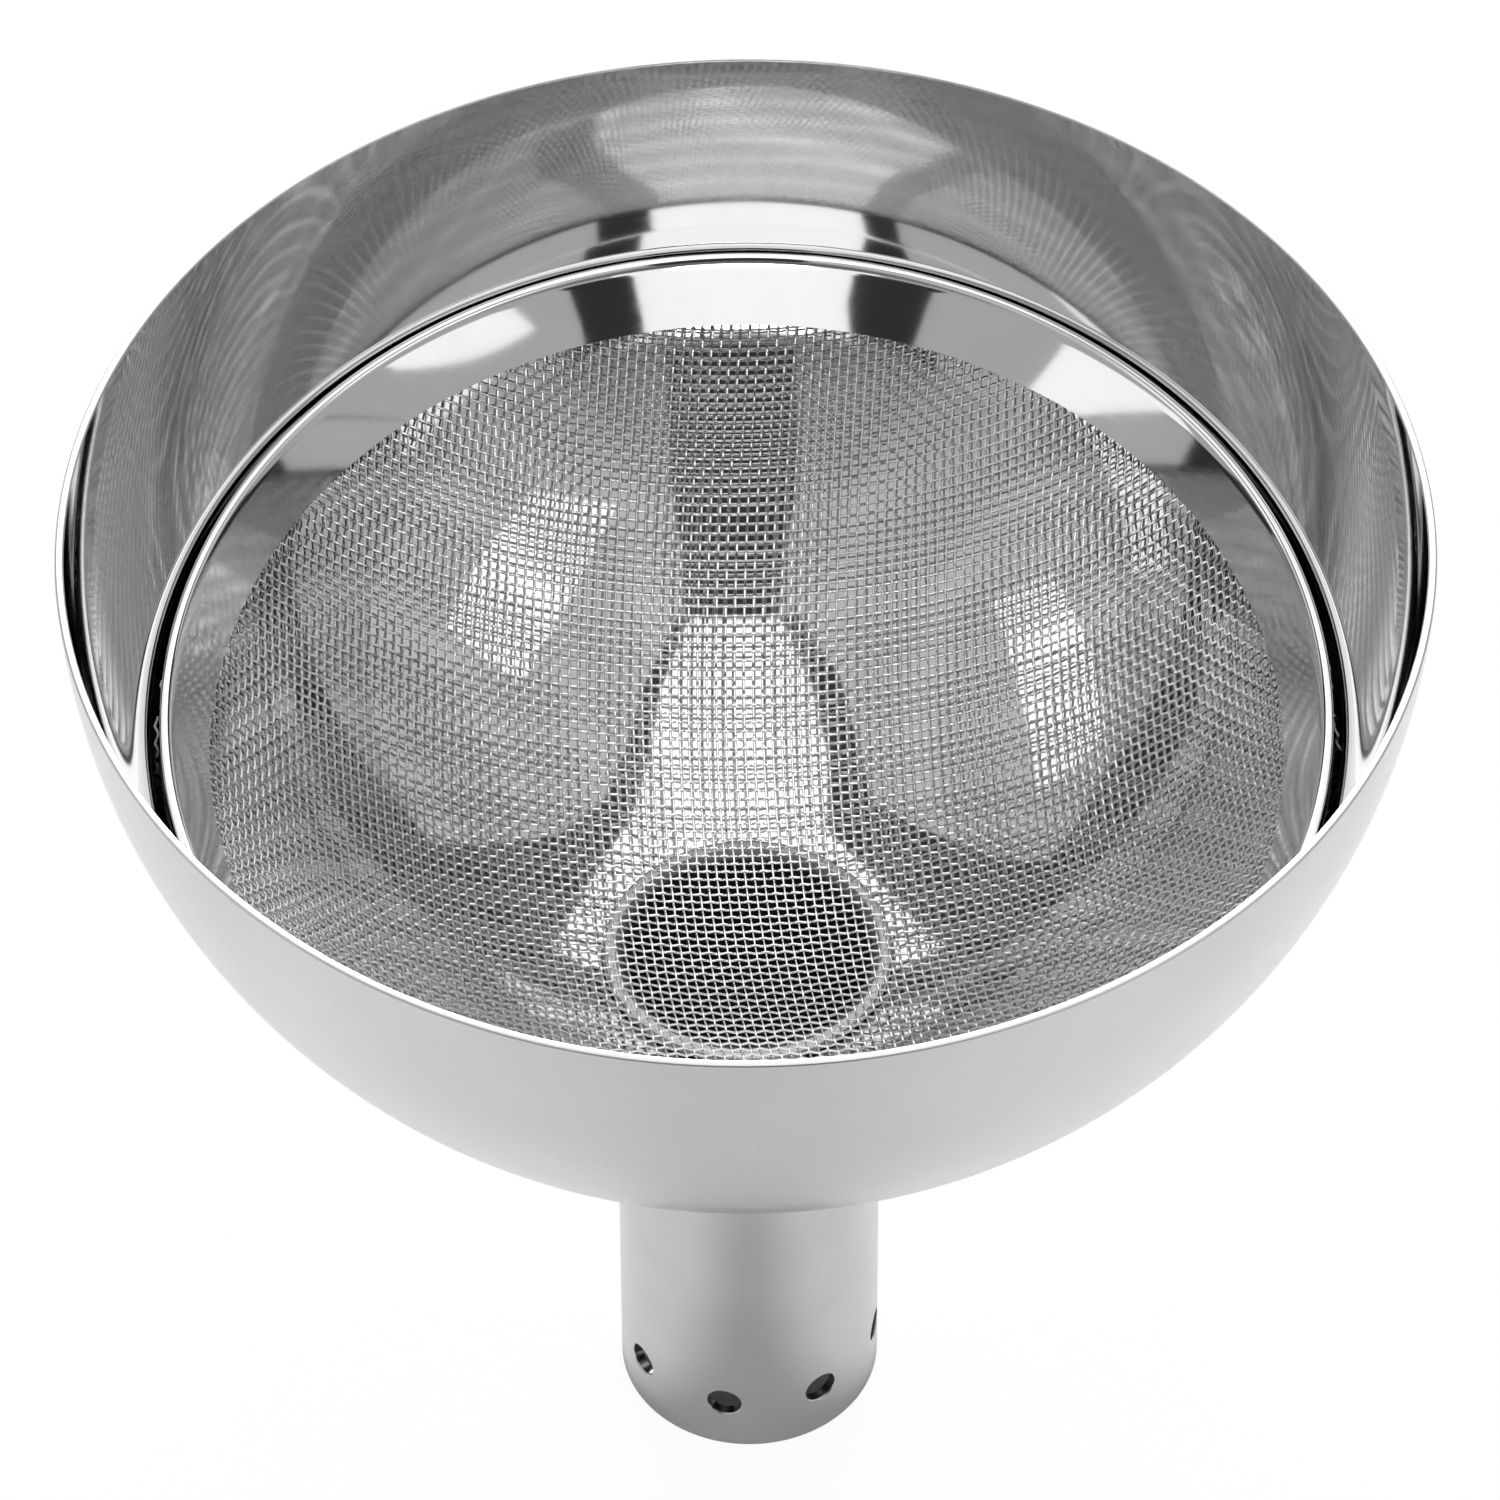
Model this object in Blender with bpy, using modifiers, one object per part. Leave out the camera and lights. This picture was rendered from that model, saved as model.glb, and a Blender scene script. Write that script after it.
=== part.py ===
"""Decanting funnel with a lift-out wire strainer, at its real size.

Metres, +Z up. The funnel stands on the closed end of its spout, with the origin under the middle of
that end. The bowl is a piece of a ball, so the strainer's frame finds its seat on the bowl's wall at
any lean, and every strainer radius below is worked out from that ball.
"""

import math

import bmesh
import bpy
from mathutils import Vector

MM = 0.001

# Bowl: a spun ball, cut open just under its middle
BOWL_RADIUS = 62.6 * MM
BOWL_WALL = 0.8 * MM
RIM_BELOW_CENTRE = 2.3 * MM
RIM_CHAMFER = 0.2 * MM
OVERALL_HEIGHT = 117.0 * MM

# Spout: a tube hung by its flared mouth in the bowl's drain hole, with a ring of side holes
SPOUT_DIAMETER = 25.2 * MM
SPOUT_WALL = 1.0 * MM
MOUTH_OVERHANG = 0.8 * MM
MOUTH_THICKNESS = 0.7 * MM
END_CHAMFER = 0.25 * MM
CAP_THICKNESS = 1.2 * MM
HOLE_COUNT = 8
HOLE_DIAMETER = 3.4 * MM
HOLE_HEIGHT = 6.4 * MM
HOLE_TURN = math.radians(-11.5)

# Strainer: a polished band inside the turned-up edge of a dished mesh, with a clamp ring behind it.
# The mesh hangs to within MESH_ROOM of the bowl's ball.
SEAT_DEPTH = 27.5 * MM
SEAT_LEAN = math.radians(5.1)
BAND_HEIGHT = 5.9 * MM
BAND_SHEET = 0.45 * MM
BEAD_WIDTH = 1.2 * MM
BEAD_HEIGHT = 0.9 * MM
BEAD_ROUND = 0.25 * MM
MESH_ROOM = 4.15 * MM
MESH_THICKNESS = 0.35 * MM
NET_PITCH = 5.5 * MM
NET_BAR = 1.1 * MM
SELVEDGE_THICKNESS = 0.5 * MM
SELVEDGE_WIDTH = 1.0 * MM
HEM_HEIGHT = 3.0 * MM
CLAMP_SHEET = 0.3 * MM
CLAMP_HEIGHT = 3.4 * MM

# Clearances between pieces that touch on the real funnel
FIT_GAP = 0.3 * MM
NEST_GAP = 0.1 * MM

# Facets
ROUND_STEPS = 64
BOWL_SEGMENTS = 16
MOUTH_SEGMENTS = 4
HOLE_SEGMENTS = 20
CREASE = math.radians(35)

# Sizes that follow from the ones above
BALL_HEIGHT = OVERALL_HEIGHT + RIM_BELOW_CENTRE
BOWL_INSIDE = BOWL_RADIUS - BOWL_WALL
SPOUT_RADIUS = SPOUT_DIAMETER / 2
BORE_RADIUS = SPOUT_RADIUS - SPOUT_WALL
DRAIN_RADIUS = SPOUT_RADIUS + FIT_GAP

STEEL_POLISHED = (0.78, 0.78, 0.79)
STEEL_SATIN = (0.70, 0.70, 0.71)
STEEL_WIRE = (0.62, 0.62, 0.62)


def ball_radius_at(ball: float, depth: float) -> float:
    """Radius of a level ring on a ball, at a depth below the ball's centre."""
    return math.sqrt(ball**2 - depth**2)


def ball_arc(ball: float, start_depth: float, end_depth: float, segments: int) -> list:
    """(radius, height) points along a ball's outline, from one depth to another."""
    start = math.acos(start_depth / ball)
    end = math.acos(end_depth / ball)
    points = []
    for step in range(segments + 1):
        angle = start + (end - start) * step / segments
        points.append((ball * math.sin(angle), -ball * math.cos(angle)))
    return points


def steel(name: str, colour: tuple, roughness: float) -> bpy.types.Material:
    """A bare stainless steel finish."""
    material = bpy.data.materials.new(name)
    material.use_nodes = True
    shader = material.node_tree.nodes["Principled BSDF"]
    shader.inputs["Base Color"].default_value = (*colour, 1.0)
    shader.inputs["Metallic"].default_value = 1.0
    shader.inputs["Roughness"].default_value = roughness
    return material


def new_collection(name: str) -> bpy.types.Collection:
    """A collection in the scene."""
    collection = bpy.data.collections.new(name)
    bpy.context.scene.collection.children.link(collection)
    return collection


def new_object(name: str, mesh: bpy.types.Mesh, collection: bpy.types.Collection) -> bpy.types.Object:
    """An object for a mesh, in a collection."""
    made = bpy.data.objects.new(name, mesh)
    collection.objects.link(made)
    return made


def turned(
    name: str, profile: list, collection: bpy.types.Collection, closed: bool = True
) -> bpy.types.Object:
    """An outline of (radius, height) points, turned about Z."""
    mesh = bpy.data.meshes.new(name)
    edges = [(i, i + 1) for i in range(len(profile) - 1)]
    if closed:
        edges.append((len(profile) - 1, 0))
    mesh.from_pydata([(radius, 0.0, height) for radius, height in profile], edges, [])
    made = new_object(name, mesh, collection)
    screw = made.modifiers.new("Turn", "SCREW")
    screw.steps = ROUND_STEPS
    screw.render_steps = ROUND_STEPS
    screw.use_merge_vertices = False
    return made


def thicken(made: bpy.types.Object, thickness: float) -> None:
    """Gives an open surface an even thickness, half on each side."""
    sheet = made.modifiers.new("Sheet", "SOLIDIFY")
    sheet.thickness = thickness
    sheet.offset = 0.0
    sheet.use_even_offset = True


def add_boolean(target: bpy.types.Object, operation: str, tool: bpy.types.Object) -> None:
    """Cuts, joins or keeps the common part of an object and a tool."""
    boolean = target.modifiers.new(tool.name, "BOOLEAN")
    boolean.operation = operation
    boolean.object = tool


def hide_tool(tool: bpy.types.Object) -> None:
    """Keeps a tool out of renders and drawn as wire."""
    tool.hide_render = True
    tool.display_type = "WIRE"


def settle(made: bpy.types.Object, material: bpy.types.Material) -> None:
    """Keeps what the modifiers give as the object's own mesh, with its finish, smooth up to a crease."""
    bpy.context.view_layer.update()
    graph = bpy.context.evaluated_depsgraph_get()
    mesh = bpy.data.meshes.new_from_object(made.evaluated_get(graph))
    mesh.name = made.name
    mesh.shade_smooth()
    mesh.set_sharp_from_angle(angle=CREASE)
    mesh.materials.clear()
    mesh.materials.append(material)
    made.modifiers.clear()
    made.data = mesh


def make_bowl(parts: bpy.types.Collection) -> bpy.types.Object:
    """The ball-shaped bowl, with its ground rim and its drain hole."""
    below_rim = RIM_BELOW_CENTRE + RIM_CHAMFER
    outer_hole = ball_radius_at(BOWL_RADIUS, DRAIN_RADIUS)
    inner_hole = ball_radius_at(BOWL_INSIDE, DRAIN_RADIUS)
    rim_outside = ball_radius_at(BOWL_RADIUS, RIM_BELOW_CENTRE) - RIM_CHAMFER
    rim_inside = ball_radius_at(BOWL_INSIDE, RIM_BELOW_CENTRE) + RIM_CHAMFER
    profile = [(rim_outside, -RIM_BELOW_CENTRE)]
    profile += ball_arc(BOWL_RADIUS, below_rim, outer_hole, BOWL_SEGMENTS)
    profile += ball_arc(BOWL_INSIDE, inner_hole, below_rim, BOWL_SEGMENTS)
    profile += [(rim_inside, -RIM_BELOW_CENTRE)]
    bowl = turned("bowl", profile, parts)
    bowl.location.z = BALL_HEIGHT
    return bowl


def make_spout(parts: bpy.types.Collection, tools: bpy.types.Collection) -> bpy.types.Object:
    """The spout tube: its flared mouth lies on the bowl's inside, round the drain hole."""
    mouth_radius = DRAIN_RADIUS + MOUTH_OVERHANG
    mouth_under = BALL_HEIGHT - ball_radius_at(BOWL_INSIDE - FIT_GAP, mouth_radius)
    mouth_top = mouth_under + MOUTH_THICKNESS
    profile = [
        (mouth_radius, mouth_top),
        (mouth_radius, mouth_under),
        (SPOUT_RADIUS, mouth_under),
        (SPOUT_RADIUS, END_CHAMFER),
        (SPOUT_RADIUS - END_CHAMFER, 0.0),
        (BORE_RADIUS, 0.0),
    ]
    for step in range(MOUTH_SEGMENTS + 1):
        turn = math.pi / 2 * step / MOUTH_SEGMENTS
        profile.append((
            BORE_RADIUS + SPOUT_WALL * (1 - math.cos(turn)),
            mouth_top - SPOUT_WALL * (1 - math.sin(turn)),
        ))
    spout = turned("spout_tube", profile, parts)
    add_boolean(spout, "DIFFERENCE", make_hole_drills(tools))
    return spout


def make_hole_drills(tools: bpy.types.Collection) -> bpy.types.Object:
    """One short round bar for each side hole, set through the tube's wall."""
    drills = bmesh.new()
    for number in range(HOLE_COUNT):
        azimuth = HOLE_TURN + math.tau * number / HOLE_COUNT
        outward = Vector((math.sin(azimuth), -math.cos(azimuth), 0.0))
        place = outward.to_track_quat("Z", "Y").to_matrix().to_4x4()
        place.translation = outward * (SPOUT_RADIUS - SPOUT_WALL / 2)
        place.translation.z = HOLE_HEIGHT
        bmesh.ops.create_cone(
            drills,
            cap_ends=True,
            segments=HOLE_SEGMENTS,
            radius1=HOLE_DIAMETER / 2,
            radius2=HOLE_DIAMETER / 2,
            depth=3 * SPOUT_WALL,
            matrix=place,
        )
    mesh = bpy.data.meshes.new("hole_drills")
    drills.to_mesh(mesh)
    drills.free()
    made = new_object("hole_drills", mesh, tools)
    hide_tool(made)
    return made


def make_cap(parts: bpy.types.Collection) -> bpy.types.Object:
    """The disc that closes the spout's end, flush with it."""
    disc = bmesh.new()
    bmesh.ops.create_cone(
        disc,
        cap_ends=True,
        segments=ROUND_STEPS,
        radius1=BORE_RADIUS - FIT_GAP,
        radius2=BORE_RADIUS - FIT_GAP,
        depth=CAP_THICKNESS,
    )
    mesh = bpy.data.meshes.new("spout_end_cap")
    disc.to_mesh(mesh)
    disc.free()
    cap = new_object("spout_end_cap", mesh, parts)
    cap.location.z = CAP_THICKNESS / 2
    return cap


class StrainerEdge:
    """The strainer's edge in section: three strips nested along the bowl's wall, as radii of balls
    about the ball's centre, and heights measured from that centre."""

    def __init__(self) -> None:
        """Works the section out from the bowl's wall inwards."""
        self.clamp_outside = BOWL_INSIDE - FIT_GAP
        self.clamp_inside = self.clamp_outside - CLAMP_SHEET
        self.hem_middle = self.clamp_inside - NEST_GAP - SELVEDGE_THICKNESS / 2
        self.band_outside = self.hem_middle - SELVEDGE_THICKNESS / 2 - NEST_GAP
        self.band_inside = self.band_outside - BAND_SHEET
        self.band_foot = SEAT_DEPTH + BAND_HEIGHT
        self.mesh_depth = self.band_foot + SELVEDGE_THICKNESS / 2
        self.mesh_radius = ball_radius_at(self.hem_middle, self.mesh_depth)
        self.mesh_sag = BOWL_INSIDE - MESH_ROOM - self.mesh_depth
        self.mesh_ball = (self.mesh_radius**2 + self.mesh_sag**2) / (2 * self.mesh_sag)
        self.mesh_slope = math.asin(self.mesh_radius / self.mesh_ball)

    def mesh_height_at(self, radius: float) -> float:
        """Height of the middle of the dished mesh at a radius, running straight on past its edge."""
        if radius > self.mesh_radius:
            return (radius - self.mesh_radius) * math.tan(self.mesh_slope) - self.mesh_depth
        centre = self.mesh_ball - self.mesh_sag - self.mesh_depth
        return centre - math.sqrt(self.mesh_ball**2 - radius**2)


def make_band(edge: StrainerEdge, parts: bpy.types.Collection) -> bpy.types.Object:
    """The polished band, with its upper edge rolled out into a bead."""
    inside = ball_radius_at(edge.band_inside, SEAT_DEPTH)
    bead_under = SEAT_DEPTH + BEAD_HEIGHT
    bead_outside = inside + BEAD_WIDTH
    profile = [
        (bead_outside - BEAD_ROUND, -SEAT_DEPTH),
        (bead_outside, -SEAT_DEPTH - BEAD_ROUND),
        (bead_outside, -bead_under),
        (ball_radius_at(edge.band_outside, bead_under), -bead_under),
        (ball_radius_at(edge.band_outside, edge.band_foot), -edge.band_foot),
        (ball_radius_at(edge.band_inside, edge.band_foot), -edge.band_foot),
        (ball_radius_at(edge.band_inside, SEAT_DEPTH + BEAD_ROUND), -SEAT_DEPTH - BEAD_ROUND),
        (inside + BEAD_ROUND, -SEAT_DEPTH),
    ]
    return turned("strainer_band", profile, parts)


def make_net(edge: StrainerEdge, parts: bpy.types.Collection) -> bpy.types.Object:
    """A square net of flat bars, wider than the strainer and dished to the mesh's curve."""
    bars_each_way = math.ceil(edge.mesh_radius / NET_PITCH)
    lines = []
    for number in range(-bars_each_way, bars_each_way + 1):
        lines.append(number * NET_PITCH - NET_BAR / 2)
        lines.append(number * NET_PITCH + NET_BAR / 2)
    cells = len(lines) - 1
    net = bmesh.new()
    bmesh.ops.create_grid(net, x_segments=cells, y_segments=cells, size=cells / 2)
    gaps = []
    for face in net.faces:
        column, row = (math.floor(place + cells / 2) for place in face.calc_center_median().xy)
        if column % 2 and row % 2:
            gaps.append(face)
    bmesh.ops.delete(net, geom=gaps, context="FACES")
    for corner in net.verts:
        corner.co.x = lines[round(corner.co.x + cells / 2)]
        corner.co.y = lines[round(corner.co.y + cells / 2)]
        corner.co.z = edge.mesh_height_at(corner.co.xy.length)
    mesh = bpy.data.meshes.new("strainer_mesh")
    net.to_mesh(mesh)
    net.free()
    made = new_object("strainer_mesh", mesh, parts)
    thicken(made, MESH_THICKNESS)
    return made


def make_selvedge(edge: StrainerEdge, tools: bpy.types.Collection) -> bpy.types.Object:
    """The mesh's pressed edge: a strip of the dish, turned up behind the band."""
    hem_top = edge.mesh_depth - HEM_HEIGHT
    inner_radius = edge.mesh_radius - SELVEDGE_WIDTH
    selvedge = turned("mesh_selvedge", [
        (ball_radius_at(edge.hem_middle, hem_top), -hem_top),
        (edge.mesh_radius, -edge.mesh_depth),
        (inner_radius, edge.mesh_height_at(inner_radius)),
    ], tools, closed=False)
    thicken(selvedge, SELVEDGE_THICKNESS)
    hide_tool(selvedge)
    return selvedge


def make_mesh(
    edge: StrainerEdge, parts: bpy.types.Collection, tools: bpy.types.Collection
) -> bpy.types.Object:
    """The dished wire mesh as a coarse net, trimmed round and joined to its pressed edge."""
    mesh = make_net(edge, parts)
    trim = bmesh.new()
    bmesh.ops.create_cone(
        trim,
        cap_ends=True,
        segments=ROUND_STEPS,
        radius1=edge.mesh_radius - SELVEDGE_WIDTH / 2,
        radius2=edge.mesh_radius - SELVEDGE_WIDTH / 2,
        depth=4 * BOWL_RADIUS,
    )
    trim_mesh = bpy.data.meshes.new("mesh_trim")
    trim.to_mesh(trim_mesh)
    trim.free()
    trim_tool = new_object("mesh_trim", trim_mesh, tools)
    hide_tool(trim_tool)
    add_boolean(mesh, "INTERSECT", trim_tool)
    add_boolean(mesh, "UNION", make_selvedge(edge, tools))
    return mesh


def make_clamp(edge: StrainerEdge, parts: bpy.types.Collection) -> bpy.types.Object:
    """The ring behind the mesh's turned-up edge, which rests on the bowl's wall."""
    top = edge.band_foot - CLAMP_HEIGHT
    foot = edge.band_foot
    return turned("strainer_clamp_ring", [
        (ball_radius_at(edge.clamp_outside, top), -top),
        (ball_radius_at(edge.clamp_outside, foot), -foot),
        (ball_radius_at(edge.clamp_inside, foot), -foot),
        (ball_radius_at(edge.clamp_inside, top), -top),
    ], parts)


def make_strainer(parts: bpy.types.Collection, tools: bpy.types.Collection) -> list:
    """The strainer's pieces, leaning together about the ball's centre."""
    seat = bpy.data.objects.new("strainer_seat", None)
    seat.location.z = BALL_HEIGHT
    seat.rotation_euler.x = SEAT_LEAN
    parts.objects.link(seat)
    edge = StrainerEdge()
    pieces = [make_band(edge, parts), make_mesh(edge, parts, tools), make_clamp(edge, parts)]
    for piece in pieces:
        piece.parent = seat
        for modifier in piece.modifiers:
            if modifier.type == "BOOLEAN":
                modifier.object.parent = seat
    return pieces


def main() -> None:
    """Clears the scene and builds the funnel."""
    for old in list(bpy.data.objects):
        bpy.data.objects.remove(old)
    parts = new_collection("decanting_funnel")
    tools = new_collection("decanting_funnel_tools")
    tools.hide_render = True

    settle(make_bowl(parts), steel("bowl steel, polished inside", STEEL_POLISHED, 0.12))
    settle(make_spout(parts, tools), steel("spout tube steel, satin", STEEL_SATIN, 0.30))
    settle(make_cap(parts), steel("end cap steel, satin", STEEL_SATIN, 0.34))
    band, mesh, clamp = make_strainer(parts, tools)
    settle(band, steel("band steel, mirror polished", STEEL_POLISHED, 0.08))
    settle(mesh, steel("mesh steel wire", STEEL_WIRE, 0.25))
    settle(clamp, steel("clamp ring steel, as rolled", STEEL_SATIN, 0.32))


main()
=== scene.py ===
"""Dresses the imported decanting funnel: spun steel bowl, drilled spout and a woven wire strainer.

Metres, +Z up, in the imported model's frame. Every visible piece is a finer version of a CAD node, built
from the same sizes, and rides on that node's body. The strainer's pieces are built in a frame of their
own at the centre of the bowl's ball, and lean with the strainer.
"""

import logging
import math
from dataclasses import dataclass, field
from enum import Enum

import bmesh
import bpy
import numpy as np
from mathutils import Euler, Matrix, Vector

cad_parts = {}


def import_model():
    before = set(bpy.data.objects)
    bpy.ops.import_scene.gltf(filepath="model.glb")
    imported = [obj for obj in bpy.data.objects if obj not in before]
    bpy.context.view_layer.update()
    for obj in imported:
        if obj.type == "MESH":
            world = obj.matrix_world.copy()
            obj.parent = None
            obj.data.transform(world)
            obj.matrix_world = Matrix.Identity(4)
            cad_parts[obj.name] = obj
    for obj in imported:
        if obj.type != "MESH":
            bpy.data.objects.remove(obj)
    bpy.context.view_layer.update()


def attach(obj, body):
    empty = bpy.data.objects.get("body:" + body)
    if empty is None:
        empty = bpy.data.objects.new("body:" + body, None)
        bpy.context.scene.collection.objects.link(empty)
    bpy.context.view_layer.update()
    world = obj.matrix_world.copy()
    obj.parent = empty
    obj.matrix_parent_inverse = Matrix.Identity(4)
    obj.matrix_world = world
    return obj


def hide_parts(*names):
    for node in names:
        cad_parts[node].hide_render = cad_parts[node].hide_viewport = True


LOG = logging.getLogger("decanting_funnel")
MM = 0.001
BALL_HEIGHT = 119.3 * MM
MOUTH_HEIGHT = 117.0 * MM
ROUND_STEPS = 256
HOLE_STEPS = 48
CREASE = math.radians(32)
MERGE_GAP = 1e-7

# Materials: the ball's radius that spun marks are measured on, in millimetres, how many marks a radian's
# turn counts as, and the noise values that nearly all of a noise texture lies between
MARKED_BALL = 62.0
MARKS_PER_RADIAN = 1.5
NOISE_LOW, NOISE_HIGH = 0.3, 0.7


def linear(hex_colour: str) -> tuple[float, float, float, float]:
    """Turns an sRGB hex colour into linear light.

    Args:
        hex_colour: Six hex digits, such as "E2E2E3".

    Returns:
        Red, green, blue and an alpha of 1.
    """
    channels = [int(hex_colour[place:place + 2], 16) / 255 for place in (0, 2, 4)]
    light = [c / 12.92 if c <= 0.04045 else ((c + 0.055) / 1.055) ** 2.4 for c in channels]
    return (light[0], light[1], light[2], 1.0)


def add_node(
    tree: bpy.types.NodeTree, kind: str, inputs: dict[str | int, object] | None = None, **settings: object
) -> bpy.types.Node:
    """Adds a node with its settings, and links or sets its inputs.

    Args:
        tree: The node tree to add to.
        kind: The node's type name.
        inputs: For each input, by name or number, an output socket to link or a value to set.
        **settings: The node's own properties.

    Returns:
        The new node.
    """
    node = tree.nodes.new(kind)
    for name, value in settings.items():
        setattr(node, name, value)
    for name, value in (inputs or {}).items():
        if isinstance(value, bpy.types.NodeSocket):
            tree.links.new(value, node.inputs[name])
        else:
            node.inputs[name].default_value = value
    return node


class Grain(Enum):
    """How the tool marks run on a steel surface."""

    SPUN = "rings about the ball, from the spinning lathe and the polishing mop"
    TURNED = "rings about the upright axis, from the belt"
    DRAWN = "no rings: marks too fine to show"


@dataclass(frozen=True)
class SteelFinish:
    """Stainless steel with one way of finishing its surface.

    The colours are the steel's own and that of its slightly duller patches. Sizes are in millimetres,
    and the roughness swings by `haze` over patches and by `grain_swing` across the tool marks.
    """

    name: str
    colour: str
    dull_colour: str
    roughness: float
    haze: float
    haze_size: float
    grain: Grain
    grain_pitch: float
    grain_swing: float
    groove: float
    anisotropy: float = 0.0

    def marks_place(self, tree: bpy.types.NodeTree, place: bpy.types.NodeSocket) -> bpy.types.NodeSocket:
        """Maps a point to where it lies across and along the tool marks.

        Args:
            tree: The material's node tree.
            place: The point in the piece's own frame.

        Returns:
            A vector with the distance across the marks in marks, and the turn about the axis.
        """
        axes = add_node(tree, "ShaderNodeSeparateXYZ", {0: place}).outputs
        turn = add_node(tree, "ShaderNodeMath", {0: axes["Y"], 1: axes["X"]}, operation="ARCTAN2").outputs[0]
        if self.grain is Grain.SPUN:
            flat = add_node(tree, "ShaderNodeCombineXYZ", {"X": axes["X"], "Y": axes["Y"]}).outputs[0]
            out = add_node(tree, "ShaderNodeVectorMath", {0: flat}, operation="LENGTH").outputs["Value"]
            tilt = add_node(tree, "ShaderNodeMath", {0: axes["Z"], 1: out}, operation="ARCTAN2").outputs[0]
            across = add_node(
                tree, "ShaderNodeMath", {0: tilt, 1: MARKED_BALL / self.grain_pitch}, operation="MULTIPLY"
            ).outputs[0]
        else:
            across = add_node(
                tree, "ShaderNodeMath", {0: axes["Z"], 1: 1.0 / (self.grain_pitch * MM)}, operation="MULTIPLY"
            ).outputs[0]
        along = add_node(
            tree, "ShaderNodeMath", {0: turn, 1: MARKS_PER_RADIAN}, operation="MULTIPLY"
        ).outputs[0]
        return add_node(tree, "ShaderNodeCombineXYZ", {"X": across, "Y": along}).outputs[0]

    def material(self) -> bpy.types.Material:
        """Builds the finish as a node material.

        Returns:
            The new material.
        """
        made = bpy.data.materials.new(self.name)
        made.use_nodes = True
        tree = made.node_tree
        tree.nodes.clear()
        place = add_node(tree, "ShaderNodeTexCoord").outputs["Object"]
        patches = add_node(
            tree, "ShaderNodeTexNoise",
            {"Vector": place, "Scale": 1.0 / (self.haze_size * MM), "Detail": 3.0, "Roughness": 0.55},
        ).outputs["Fac"]
        colour = add_node(
            tree, "ShaderNodeMix",
            {"Factor": patches, "A": linear(self.colour), "B": linear(self.dull_colour)},
            data_type="RGBA",
        ).outputs["Result"]
        roughness = add_node(
            tree, "ShaderNodeMapRange",
            {"Value": patches, "From Min": NOISE_LOW, "From Max": NOISE_HIGH,
             "To Min": self.roughness - self.haze / 2, "To Max": self.roughness + self.haze / 2},
        ).outputs["Result"]
        shader_inputs: dict[str | int, object] = {
            "Base Color": colour,
            "Metallic": 1.0,
            "Anisotropic": self.anisotropy,
        }
        if self.grain is not Grain.DRAWN:
            marks = add_node(
                tree, "ShaderNodeTexNoise",
                {"Vector": self.marks_place(tree, place), "Scale": 1.0, "Detail": 2.0, "Roughness": 0.6},
            ).outputs["Fac"]
            swing = add_node(
                tree, "ShaderNodeMapRange",
                {"Value": marks, "From Min": NOISE_LOW, "From Max": NOISE_HIGH,
                 "To Min": -self.grain_swing / 2, "To Max": self.grain_swing / 2},
            ).outputs["Result"]
            roughness = add_node(
                tree, "ShaderNodeMath", {0: roughness, 1: swing}, operation="ADD", use_clamp=True
            ).outputs[0]
            shader_inputs["Normal"] = add_node(
                tree, "ShaderNodeBump", {"Strength": 1.0, "Distance": self.groove * MM, "Height": marks}
            ).outputs["Normal"]
        if self.anisotropy:
            shader_inputs["Tangent"] = add_node(
                tree, "ShaderNodeTangent", direction_type="RADIAL", axis="Z"
            ).outputs["Tangent"]
        shader_inputs["Roughness"] = roughness
        shader = add_node(tree, "ShaderNodeBsdfPrincipled", shader_inputs)
        add_node(tree, "ShaderNodeOutputMaterial", {"Surface": shader.outputs["BSDF"]})
        return made


# Stainless sheet, spun and then mopped to a mirror: clear reflections with a faint ringed haze.
MIRROR_BOWL = SteelFinish(
    "stainless steel, spun and mirror mopped", "E4E4E5", "DCDCDD",
    0.045, 0.02, 14.0, Grain.SPUN, 0.5, 0.012, 0.00004,
)
# The same sheet outside, belted to a fine satin: soft broad reflections that stretch across the marks.
SATIN_BOWL = SteelFinish(
    "stainless steel, spun and satin belted", "DADADB", "CECED0",
    0.28, 0.02, 18.0, Grain.DRAWN, 1.0, 0.0, 0.0, 0.75,
)
# The rim, ground flat: a bright matt line.
GROUND_RIM = SteelFinish(
    "stainless steel, ground edge", "DEDEDE", "D2D2D3",
    0.34, 0.10, 1.5, Grain.DRAWN, 1.0, 0.0, 0.0,
)
# Drawn tube, belted to satin: soft upright bands of light and dark.
SATIN_TUBE = SteelFinish(
    "stainless steel tube, drawn and satin belted", "D2D2D3", "C4C4C6",
    0.23, 0.03, 9.0, Grain.TURNED, 0.3, 0.03, 0.00004, 0.8,
)
# The tube's bore, as drawn: dull, and its colour darkened to grey as painted shade for the dim inside of the
# tube, so the side holes look dark.
BORE_WITH_PAINTED_SHADE = SteelFinish(
    "stainless steel tube, as drawn inside", "8E8E90", "808083",
    0.50, 0.08, 4.0, Grain.TURNED, 0.4, 0.05, 0.0001,
)
# Blanked disc, as rolled: duller than the tube round it.
BLANKED_DISC = SteelFinish(
    "stainless steel sheet, blanked", "CBCBCC", "BDBDBF",
    0.34, 0.08, 5.0, Grain.TURNED, 0.4, 0.04, 0.0001,
)
# Strip, rolled up and mirror polished: the sharpest reflections on the funnel.
MIRROR_BAND = SteelFinish(
    "stainless steel strip, mirror polished", "E6E6E6", "DEDEDF",
    0.05, 0.02, 10.0, Grain.TURNED, 0.5, 0.015, 0.00003,
)
# Thin strip behind the mesh, as rolled.
ROLLED_STRIP = SteelFinish(
    "stainless steel strip, cold rolled", "CFCFD0", "C2C2C4",
    0.32, 0.08, 6.0, Grain.TURNED, 0.3, 0.05, 0.0001,
)
# Bright drawn wire: a thin white highlight along each bend of the weave.
DRAWN_WIRE = SteelFinish(
    "stainless steel wire, bright drawn", "F0F0F0", "E0E0E1",
    0.20, 0.06, 4.0, Grain.DRAWN, 1.0, 0.0, 0.0,
)


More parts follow.
